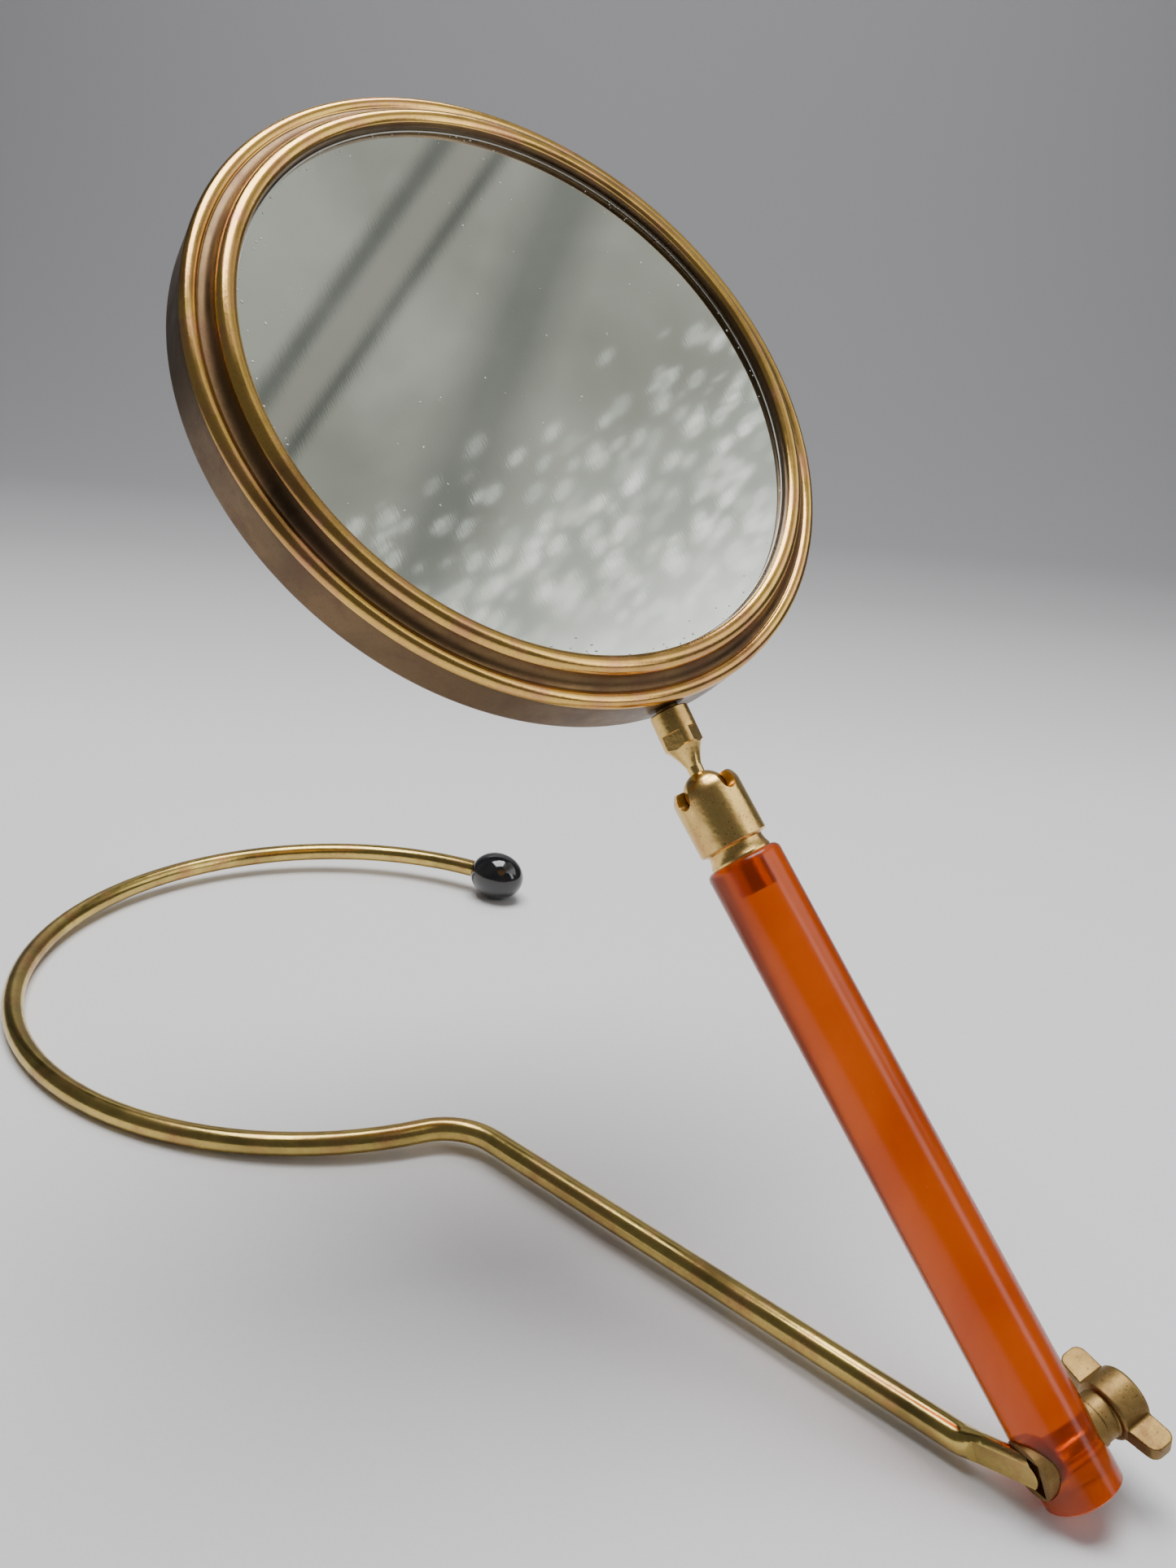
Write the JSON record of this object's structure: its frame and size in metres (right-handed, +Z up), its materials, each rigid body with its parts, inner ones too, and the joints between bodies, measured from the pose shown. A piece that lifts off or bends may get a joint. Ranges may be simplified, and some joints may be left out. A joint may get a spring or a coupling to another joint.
{
  "type": "shaving mirror",
  "caption": "Round brass-framed shaving mirror on a ball joint and amber handle, pivoted with a wing nut on a looped neck rod that also stands on a table.",
  "frame": {"origin": "on the plane the object stands on, below the centre of the neck loop", "axes": "+Z up; +X along the straight shaft of the neck rod, away from the loop; +Y towards the loop's black tip"},
  "size_m": [0.2937, 0.1635, 0.2028],
  "materials": {
    "rod_brass": "satin",
    "frame_brass": "satin",
    "turned_brass": "satin",
    "cast_brass": "matte",
    "steel": "satin",
    "amber": "gloss",
    "black_gloss": "gloss",
    "fibre": "matte",
    "card": "matte",
    "mirror_glass": "polished"
  },
  "bodies": {
    "arm": {"neck_rod": "rod_brass", "loop_tip": "black_gloss", "clamp_bolt": "cast_brass"},
    "handle": {"amber_handle": "amber", "bolt_bush": "turned_brass", "handle_stud": "turned_brass", "socket_collar": "turned_brass", "socket_spring": "steel"},
    "washers": {"flat_washer": "cast_brass", "spring_washer": "cast_brass"},
    "nut": {"wing_nut": "cast_brass"},
    "cup": {"friction_cup": "fibre"},
    "stem": {"ball_stem": "turned_brass"},
    "head": {"stem_spigot": "cast_brass", "stem_boss": "turned_brass", "bezel_ring": "frame_brass", "glass_gasket": "card", "mirror_glass": "mirror_glass", "backing_card": "card", "retaining_clip": "steel", "rear_cover": "frame_brass"}
  },
  "joints": [
    {"name": "arm_pivot", "type": "hinge", "parent": "arm", "child": "handle", "pos_m": [0.20271, -0.01603, 0.00969], "axis": [0.3036, 0.8906, 0.3386], "range_deg": [-20, 129]},
    {"name": "nut_travel", "type": "slide", "parent": "arm", "child": "washers", "axis": [0.3036, 0.8906, 0.3386], "range_m": [0, 0.0008]},
    {"name": "nut_turn", "type": "hinge", "parent": "washers", "child": "nut", "pos_m": [0.20271, -0.01603, 0.00969], "axis": [0.3036, 0.8906, 0.3386], "range_deg": [0, 360]},
    {"name": "ball_pan", "type": "hinge", "parent": "handle", "child": "cup", "pos_m": [0.12623, -0.02272, 0.09585], "axis": [-0.6627, -0.058, 0.7466], "continuous": true},
    {"name": "ball_tilt", "type": "hinge", "parent": "cup", "child": "stem", "pos_m": [0.12623, -0.02272, 0.09585], "axis": [-0.6846, 0.4511, -0.5726], "range_deg": [-45, 35]},
    {"name": "head_spin", "type": "hinge", "parent": "stem", "child": "head", "pos_m": [0.12623, -0.02272, 0.09585], "axis": [-0.6429, -0.0035, 0.7659], "continuous": true}
  ],
  "couplings": [
    {"joint": "nut_turn", "follows": "nut_travel", "rad_per_m": 7850}
  ]
}
